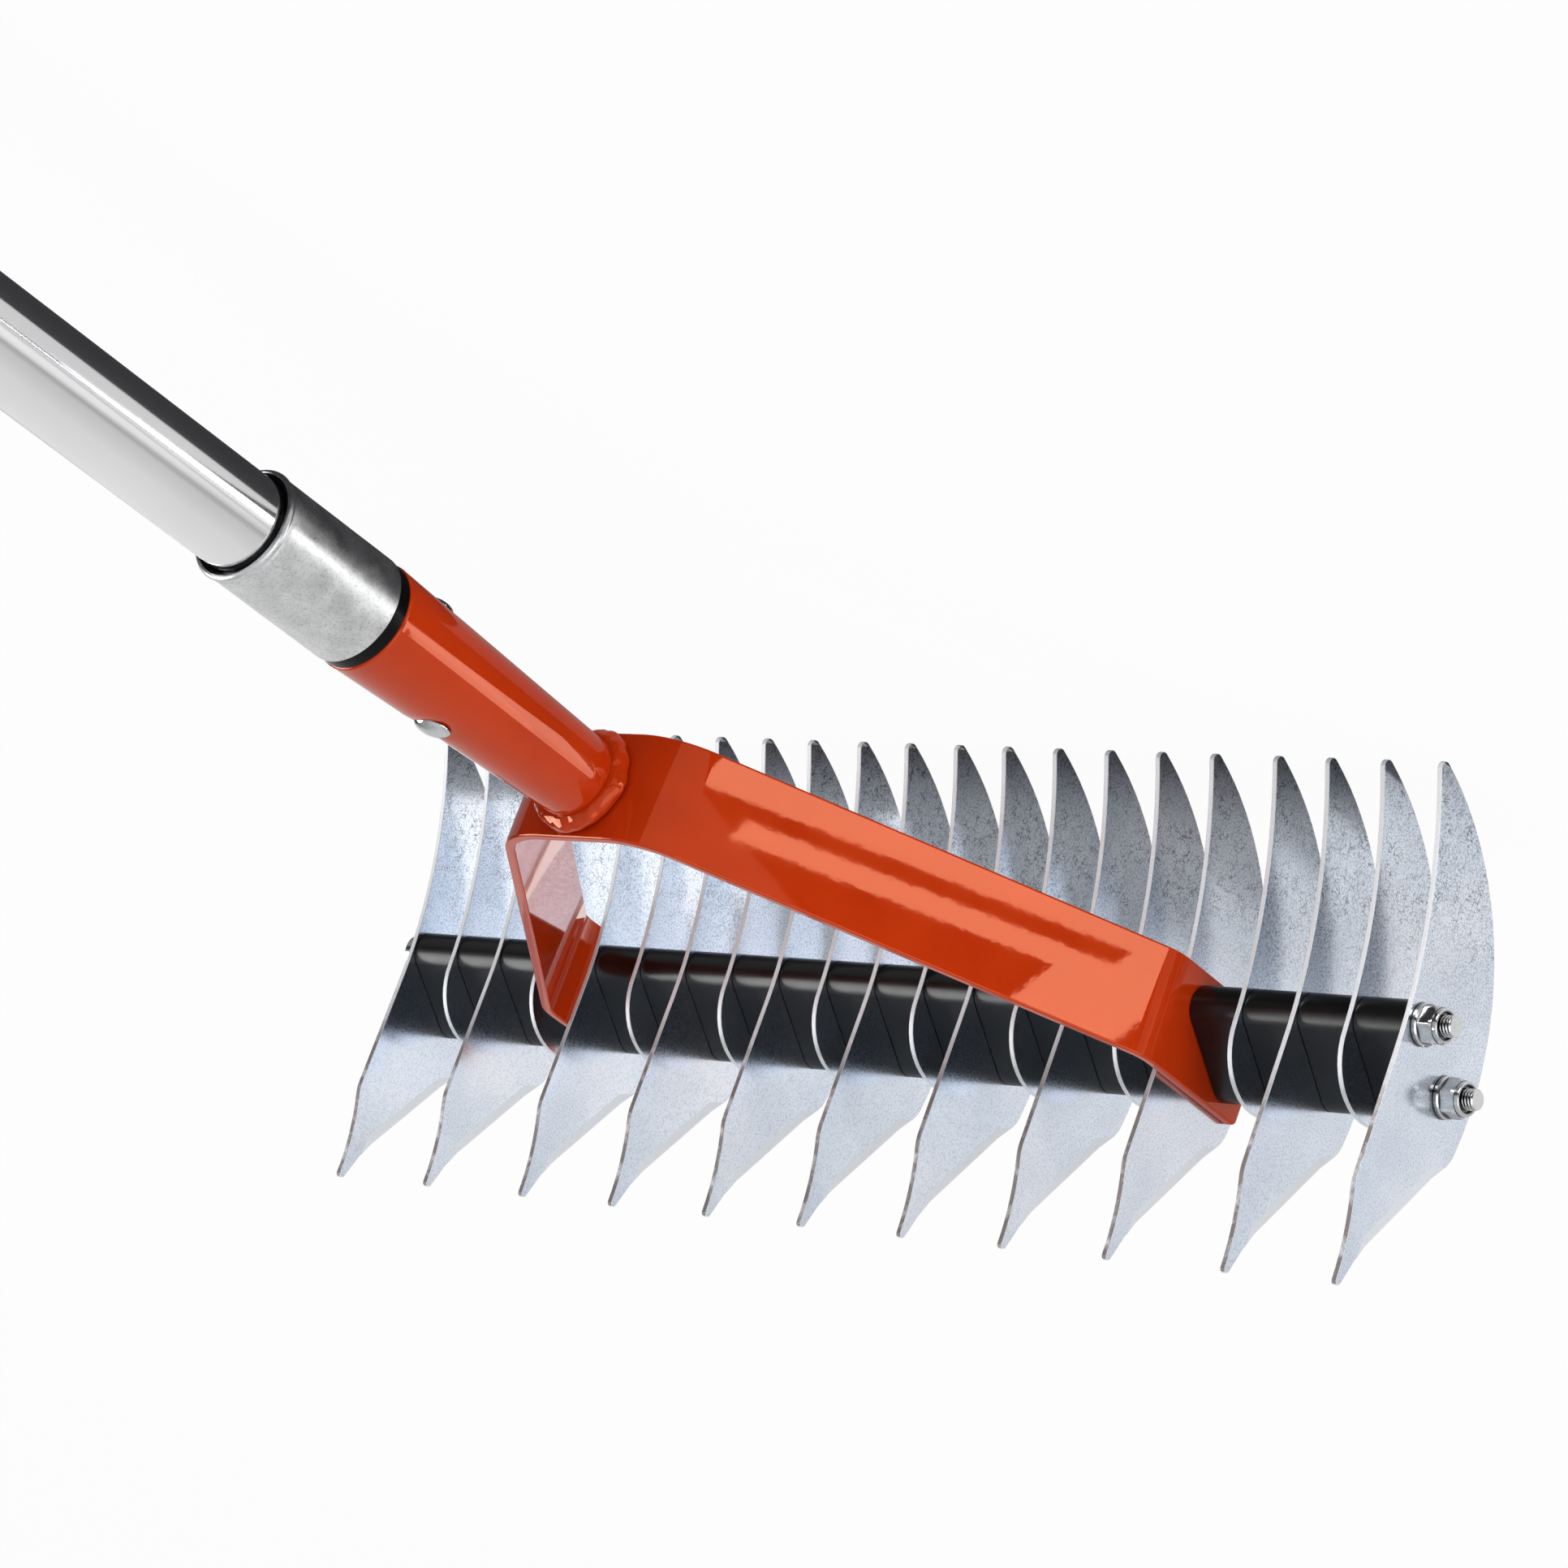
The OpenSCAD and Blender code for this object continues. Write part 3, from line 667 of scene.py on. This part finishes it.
WELD_FOOT, WELD_FOOT_SHARE = 0.6, 0.35


def socket_radius(along):
    return SOCKET_R0 + (SOCKET_R1 - SOCKET_R0) * along / SOCKET_LEN


def dimpled(angle, along, radius):
    """Sinks the socket's wall a little around each screw."""
    sunk = 0.0
    for at, side in SCREWS:
        turn = (angle - side * math.pi / 2 + math.pi) % (2 * math.pi) - math.pi
        far = min(1.0, math.hypot(turn * radius, along - at) / SEAT_R)
        sunk += SEAT_DEPTH * (0.5 + 0.5 * math.cos(math.pi * far))
    return radius - sunk


def socket(bm):
    """A tapered tube with a rounded mouth, open as far as shows."""
    profile = []
    for i in range(SOCKET_ROWS):
        along = SOCKET_LEN * i / SOCKET_ROWS
        profile.append((along, socket_radius(along)))
    mouth = (SOCKET_LEN - MOUTH_ROUND, SOCKET_R1 - MOUTH_ROUND)
    profile += arc(mouth, MOUTH_ROUND, 90, 0, MOUTH_STEPS)
    profile.append((SOCKET_LEN - MOUTH_ROUND / 2, SOCKET_R1 - SOCKET_WALL))
    inside = SOCKET_LEN - MOUTH_DEEP
    profile.append((inside, socket_radius(inside) - SOCKET_WALL - SEAT_DEPTH))
    lathe(bm, profile, ON_CREST, HANDLE_AROUND, dimpled)


def weld_radius(angle, along, radius):
    """Ripples and lumps of a hand-laid bead, calmer at its foot."""
    around = Vector((math.cos(angle), math.sin(angle), 0))
    ripple = math.sin(angle * WELD_RIPPLES / 2 + WELD_SWAY * math.sin(WELD_SWAYS * angle))
    lump = noise.noise(LUMP_AROUND * around + Vector((0, 0, LUMP_ALONG * along)))
    deeper = Vector((0, 0, GRAIN_ALONG * along + GRAIN_START))
    grain = noise.noise(GRAIN_AROUND * around + deeper)
    rise = WELD_RIPPLE * abs(ripple) + WELD_LUMP * lump + WELD_GRAIN * grain
    return radius + rise * (WELD_FOOT_SHARE if radius < SOCKET_R0 + WELD_FOOT else 1.0)


def weld(bm):
    """A bead around the socket's foot, fuller towards the crest."""
    profile = []
    for i in range(1, WELD_STEPS):
        share = i / WELD_STEPS
        bulge = WELD_OUT * math.sin(math.pi * share) * (1 - WELD_SLANT * share)
        profile.append((WELD_LONG / 2 * (1 - math.cos(math.pi * share)), SOCKET_R0 + bulge))
    lathe(bm, profile, ON_CREST, WELD_AROUND, weld_radius)


def screws(bm):
    for at, side in SCREWS:
        seat = side * (socket_radius(at) - SEAT_DEPTH)
        place = moved(Matrix.Diagonal((1, side, side, 1)), (0, CREST_Y - at, seat))
        lathe(bm, domed_head(SCREW_R, SCREW_RIM, SCREW_H), place, HEAD_AROUND)


socket_mesh, weld_mesh = mesh_of("socket", socket), mesh_of("weld", weld)
piece("socket_painted", socket_mesh, ORANGE, ["socket"], SOCKET_SHARP)
piece("weld_bead_painted", weld_mesh, ORANGE, ["weld_bead"], WELD_SHARP)
piece("socket_screws_zinc", mesh_of("screws", screws), BRIGHT, ["socket_screws"])


# Coupling, collar, tube, grip and cap

RING_T, RING_R, RING_ROUND, RING_STEPS = 4.0, 15.5, 0.4, 3
PLUG_LEN, PLUG_R, PLUG_FOOT_R = 12.0, 13.2, 13.8
COLLAR_LEN, COLLAR_R, COLLAR_WALL = 45.0, 15.8, 0.9
COLLAR_EDGE, COLLAR_ROWS, COLLAR_SHARP = 0.25, 24, 40.0
COLLAR_DENT, DENT_AROUND, DENT_ALONG = 0.05, 2, 0.08
BEAD_R, BEAD_OUT, BEAD_GROOVE = 1.2, 0.4, 0.22
BEAD_START, BEAD_FROM, BEAD_TO, BEAD_STEPS = 3.2, 150, 10, 12
CUP_R, CUP_EDGE, CUP_BELOW, CUP_SEEN = 14.8, 0.4, 0.8, 8.0
TUBE_R, TUBE_LEN, TUBE_AT, TUBE_GAP = 13.5, 1210.0, 9.0, 0.1
TUBE_ROWS = 60
GRIP_R, GRIP_LEN, GRIP_ROUND, GRIP_STEPS = 16.5, 250.0, 1.5, 6
GROOVES, GROOVE_PITCH, GROOVE_W, GROOVE_DEEP = 9, 14.0, 4.0, 0.8
GROOVE_STEPS = 12
GRIP_EDGE, GRIP_EDGE_STEPS, GRIP_AROUND = 0.8, 3, 96
CAP_EDGE, CAP_EDGE_STEPS = 0.7, 3
COLLAR_AT = SOCKET_LEN + RING_T
COLLAR_END = COLLAR_AT + COLLAR_LEN
TUBE_START = SOCKET_LEN + TUBE_AT
TUBE_END = TUBE_START + TUBE_LEN


def coupling(bm):
    """The plug in the socket, the ring against the collar and the lip at the collar's far end."""
    lip = COLLAR_END - CUP_BELOW
    profile = [(SOCKET_LEN - PLUG_LEN, PLUG_R), (SOCKET_LEN, PLUG_FOOT_R)]
    round_at = RING_R - RING_ROUND
    profile += arc((SOCKET_LEN + RING_ROUND, round_at), RING_ROUND, 180, 90, RING_STEPS)
    profile += arc((COLLAR_AT - RING_ROUND, round_at), RING_ROUND, 90, 0, RING_STEPS)
    profile += [(COLLAR_AT, CUP_R), (lip - CUP_EDGE, CUP_R), (lip, CUP_R - CUP_EDGE)]
    profile += [(lip, TUBE_R + CUP_EDGE), (lip - CUP_EDGE, TUBE_R + TUBE_GAP)]
    profile.append((lip - CUP_SEEN, TUBE_R + TUBE_GAP))
    lathe(bm, profile, ON_CREST, HANDLE_AROUND)


def dented(angle, along, radius):
    """Shallow dents in the collar's wall."""
    x, y = DENT_AROUND * math.cos(angle), DENT_AROUND * math.sin(angle)
    around = Vector((x, y, DENT_ALONG * along))
    return radius + COLLAR_DENT * noise.noise(around)


def collar(bm):
    """A thin tube with a groove and a rolled bead at its far end."""
    inner = COLLAR_R - COLLAR_WALL
    bead = (COLLAR_END - BEAD_R, COLLAR_R + BEAD_OUT - BEAD_R)
    straight = COLLAR_LEN - BEAD_START
    profile = [(COLLAR_AT, inner), (COLLAR_AT, COLLAR_R - COLLAR_EDGE)]
    profile.append((COLLAR_AT + COLLAR_EDGE, COLLAR_R))
    for i in range(1, COLLAR_ROWS + 1):
        profile.append((COLLAR_AT + straight * i / COLLAR_ROWS, COLLAR_R))
    profile.append((COLLAR_END - (BEAD_START + 2 * BEAD_R) / 2, COLLAR_R - BEAD_GROOVE))
    profile += arc(bead, BEAD_R, BEAD_FROM, BEAD_TO, BEAD_STEPS)
    profile += [(COLLAR_END - COLLAR_EDGE, inner), (COLLAR_END - CUP_SEEN, inner)]
    lathe(bm, profile, ON_CREST, HANDLE_AROUND, dented, caps=False)


def tube(bm):
    rows = [(TUBE_START + TUBE_LEN * i / TUBE_ROWS, TUBE_R) for i in range(TUBE_ROWS + 1)]
    lathe(bm, rows, ON_CREST, HANDLE_AROUND)


def grip(bm):
    """A sleeve with a rounded mouth and a row of finger grooves around its middle."""
    start, end = TUBE_END - GRIP_LEN, TUBE_END
    inner = TUBE_R + TUBE_GAP
    profile = [(start, inner)]
    profile += arc((start + GRIP_ROUND, GRIP_R - GRIP_ROUND), GRIP_ROUND, 180, 90, GRIP_STEPS)
    first = (start + end - GROOVE_PITCH * (GROOVES - 1)) / 2
    for i in range(GROOVES):
        for k in range(GROOVE_STEPS + 1):
            x = 2 * k / GROOVE_STEPS - 1
            deep = GROOVE_DEEP * (0.5 + 0.5 * math.cos(math.pi * x))
            profile.append((first + i * GROOVE_PITCH + x * GROOVE_W / 2, GRIP_R - deep))
    profile += arc((end - GRIP_EDGE, GRIP_R - GRIP_EDGE), GRIP_EDGE, 90, 0, GRIP_EDGE_STEPS)
    profile.append((end, inner))
    lathe(bm, profile, ON_CREST, GRIP_AROUND)


def cap(bm):
    from_cad(bm, "end_cap", CAP_EDGE, CAP_EDGE_STEPS, True)


piece("coupling_moulding", mesh_of("coupling", coupling), COUPLING, ["coupling"])
piece("collar_galvanised", mesh_of("collar", collar), COLLAR, ["collar"], COLLAR_SHARP)
piece("handle_tube_polished", mesh_of("tube", tube), TUBE, ["handle_tube"])
piece("grip_sleeve", mesh_of("grip", grip), GRIP, ["grip"])
piece("end_cap_moulding", mesh_of("cap", cap), CAP, ["end_cap"])


# Floor

scene = bpy.context.scene
scene.view_settings.view_transform = "Standard"

FLOOR_HALF = 40.0
SHADOW_SHARE = 0.05
FLOOR_TONE = (0.86, 0.86, 0.86, 1)
# Tone of the painted shade that reflections see on the floor
PAINTED_SHADE_TONE = (0.05, 0.05, 0.055, 1)

# Painted shade on the floor in reflections: its brightness by the metres past the head, away from
# the handle
NEAR_FADE, NEAR_SHARES = (-0.05, 0.02), (0.08, 0.66)
FAR_FADE, FAR_SHARES = (0.45, 0.75), (1.0, 1.6)
# A spot of painted shade beside the row, dimmer in reflections
SPOT_AT, SPOT_FADE, SPOT_SHARES = Vector((-0.15, 0.13, 0)), (0.05, 0.13), (0.6, 1.0)

corners = [(x * FLOOR_HALF, y * FLOOR_HALF, 0) for x, y in ((-1, -1), (1, -1), (1, 1), (-1, 1))]
floor_mesh = bpy.data.meshes.new("floor")
floor_mesh.from_pydata(corners, [], [(0, 1, 2, 3)])
floor = bpy.data.objects.new("floor", floor_mesh)
bpy.context.collection.objects.link(floor)


def floor_material():
    """White to the camera but for the shadows. In reflections it carries painted shade, dim under
    the handle and in a spot beside the row.
    """
    material = bpy.data.materials.new("white_floor")
    material.use_nodes = True
    look = Tree(material.node_tree)
    look.nodes.clear()
    place = look.node("NewGeometry").outputs["Position"]
    along = look.axes(place)["Y"]
    near = [HEAD_AT.y + way for way in NEAR_FADE]
    far = [HEAD_AT.y + way for way in FAR_FADE]
    bright = look.span(along, *near, *NEAR_SHARES, "SMOOTHSTEP")
    bright = look.math("MULTIPLY", bright, look.span(along, *far, *FAR_SHARES, "SMOOTHSTEP"))
    apart = look.node("VectorMath", operation="DISTANCE")
    look.put(place, apart.inputs[0])
    look.put(HEAD_AT + SPOT_AT, apart.inputs[1])
    spot = look.span(apart.outputs["Value"], *SPOT_FADE, *SPOT_SHARES, "SMOOTHSTEP")
    painted_shade_share = look.span(look.math("MULTIPLY", bright, spot), 0.0, 1.0, 1.0, 0.0, "SMOOTHSTEP")

    rays = look.node("LightPath").outputs
    lit = look.fill(look.node("BsdfDiffuse"), Color=FLOOR_TONE)
    dim = look.fill(look.node("BsdfDiffuse"), Color=PAINTED_SHADE_TONE)
    # Painted shade: glossy rays see a dark floor where the shares above call for it.
    seen = look.blend(look.math("MULTIPLY", rays["Is Glossy Ray"], painted_shade_share), lit, dim)
    plain = look.span(rays["Is Camera Ray"], 0.0, 1.0, 0.0, 1 - SHADOW_SHARE)
    seen = look.blend(plain, seen, look.node("Emission"))
    look.fill(look.node("OutputMaterial"), Surface=seen.outputs[0])
    return material


floor_mesh.materials.append(floor_material())


# Room: stops of (way along X, tone), in front of the row and behind it

FRONT_ROOM = ((-1.0, 0.9), (0.0, 0.62), (0.7, 0.4), (0.92, 0.06))
BACK_ROOM = (
    (-0.81, 0.9),
    (-0.79, 0.36),
    (-0.76, 0.36),
    (-0.73, 0.57),
    (-0.28, 0.70),
    (0.5, 0.75),
    (0.8, 0.78),
)
BEHIND_ROW = (0.15, 0.45)
COOL = (0.95, 0.975, 1.0)


def room():
    """A soft room: white to the camera, and toned by the way a ray leaves."""
    world = bpy.data.worlds.new("studio")
    world.use_nodes = True
    look = Tree(world.node_tree)
    look.nodes.clear()
    way = look.axes(look.node("TexCoord").outputs["Generated"])
    across = look.span(way["X"], -1.0, 1.0)
    front = [((x + 1) / 2, tuple(tone * c for c in COOL)) for x, tone in FRONT_ROOM]
    back = [((x + 1) / 2, tone) for x, tone in BACK_ROOM]
    behind = look.span(way["Y"], *BEHIND_ROW, how="SMOOTHSTEP")
    tone = look.mix(behind, look.ramp(across, *front), look.ramp(across, *back))
    toned = look.fill(look.node("Background"), Color=tone)
    plain = look.fill(look.node("Background"), Color=(1, 1, 1, 1))
    seen = look.blend(look.node("LightPath").outputs["Is Camera Ray"], toned, plain)
    look.fill(look.node("OutputWorld"), Surface=seen.outputs[0])
    return world


scene.world = room()


# Lamps, placed in metres from the head


def facing(way):
    """The turn of a lamp that shines this way."""
    return way.to_track_quat("-Z", "Y").to_euler()


def softbox(name, at, turn, wide, high, glow):
    """A soft lamp of a given brightness, seen in reflections but not by the camera."""
    lamp = bpy.data.lights.new(name, "AREA")
    lamp.shape = "RECTANGLE"
    lamp.size, lamp.size_y = wide, high
    lamp.energy = glow * wide * high * math.pi
    made = bpy.data.objects.new(name, lamp)
    bpy.context.collection.objects.link(made)
    made.location = HEAD_AT + at
    made.rotation_euler = turn
    made.visible_camera = False
    return made


def lamp_at_head(name, x, y, z, size, glow):
    """A square softbox that faces the head."""
    at = Vector((x, y, z))
    return softbox(name, at, facing(-at), size, size, glow)


lamp_at_head("key", -1.85, -0.55, 0.8, 1.3, 1.1)
overhead = lamp_at_head("overhead", 0.1, 0.1, 1.9, 1.6, 0.7)
overhead.visible_glossy = False
left = lamp_at_head("left", 1.3, -0.85, 0.75, 0.95, 6.5)
left.visible_diffuse = False

# A small panel in front of the row that the socket mirrors as a streak
STREAK_AT, STREAK_WAY = Vector((-0.160, -0.06, -0.028)), Vector((0, -1, 0))
STREAK_WIDE, STREAK_HIGH, STREAK_GLOW = 0.10, 0.08, 2.8
streak = softbox("streak", STREAK_AT, facing(STREAK_WAY), STREAK_WIDE, STREAK_HIGH, STREAK_GLOW)
streak.visible_diffuse = False

PANEL_RISE = 0.0008


def low_panel(name, x, y, wide, deep, glow, turn=0.0):
    """A panel lying just above the floor, facing up."""
    at = Vector((x, y, PANEL_RISE - HEAD_AT.z))
    softbox(name, at, (math.pi, 0, math.radians(turn)), wide, deep, glow)


ARM_TURN = 180 - ARM
ARM_WAY = Vector((math.cos(math.radians(ARM_TURN)), math.sin(math.radians(ARM_TURN))))
ARM_OUT = Vector((-ARM_WAY.y, ARM_WAY.x))
CREST_CORNER = Vector((-CREST_HALF, -BOW_REACH)) * MM
STRIP_END, STRIP_GLOW = 0.2, 4.6


def arm_strip(name, near, far, start):
    """A low panel alongside the bow's arm, between two distances from it, that the arm mirrors."""
    at = CREST_CORNER + ARM_WAY * (start + STRIP_END) / 2 + ARM_OUT * (near + far) / 2
    low_panel(name, at.x, at.y, STRIP_END - start, far - near, STRIP_GLOW, ARM_TURN)


low_panel("behind", 0.38, 0.22, 0.80, 0.40, 1.0)
low_panel("beside", -0.4725, 0.185, 0.595, 0.53, 0.40)
low_panel("knives", -0.135, 0.28, 0.15, 0.18, 0.60)
low_panel("front", 0.205, -0.10, 0.49, 0.14, 0.25)
low_panel("tube_side", -0.18, -0.37, 0.24, 0.30, 0.60)
arm_strip("wide_strip", 0.115, 0.170, 0.035)
arm_strip("thin_strip", 0.186, 0.207, 0.055)
arm_strip("end_strip", 0.170, 0.186, 0.177)
arm_strip("corner_strip", 0.207, 0.33, 0.163)


# The photo's camera, solved from the teeth and the bow, in the head frame

PHOTO_PX = 1932
FOCAL_PX = 7300.0
CAMERA_AT = Vector((-1115.73, -1184.47, 499.87))
CAMERA_RIGHT = Vector((-0.7402, 0.58621, -0.32933))
CAMERA_DOWN = Vector((-0.03024, 0.46028, 0.88726))
CAMERA_FAR = 200.0

lens = bpy.data.cameras.new("photo_camera")
lens.lens = FOCAL_PX / PHOTO_PX * lens.sensor_width
lens.clip_end = CAMERA_FAR
camera = bpy.data.objects.new("photo_camera", lens)
bpy.context.collection.objects.link(camera)
right = (HEAD_TURN @ CAMERA_RIGHT).normalized()
up = -(HEAD_TURN @ CAMERA_DOWN)
up = (up - right * up.dot(right)).normalized()
turn = Matrix((right, up, right.cross(up))).transposed().to_4x4()
camera.matrix_world = Matrix.Translation(HEAD @ CAMERA_AT) @ turn
scene.camera = camera
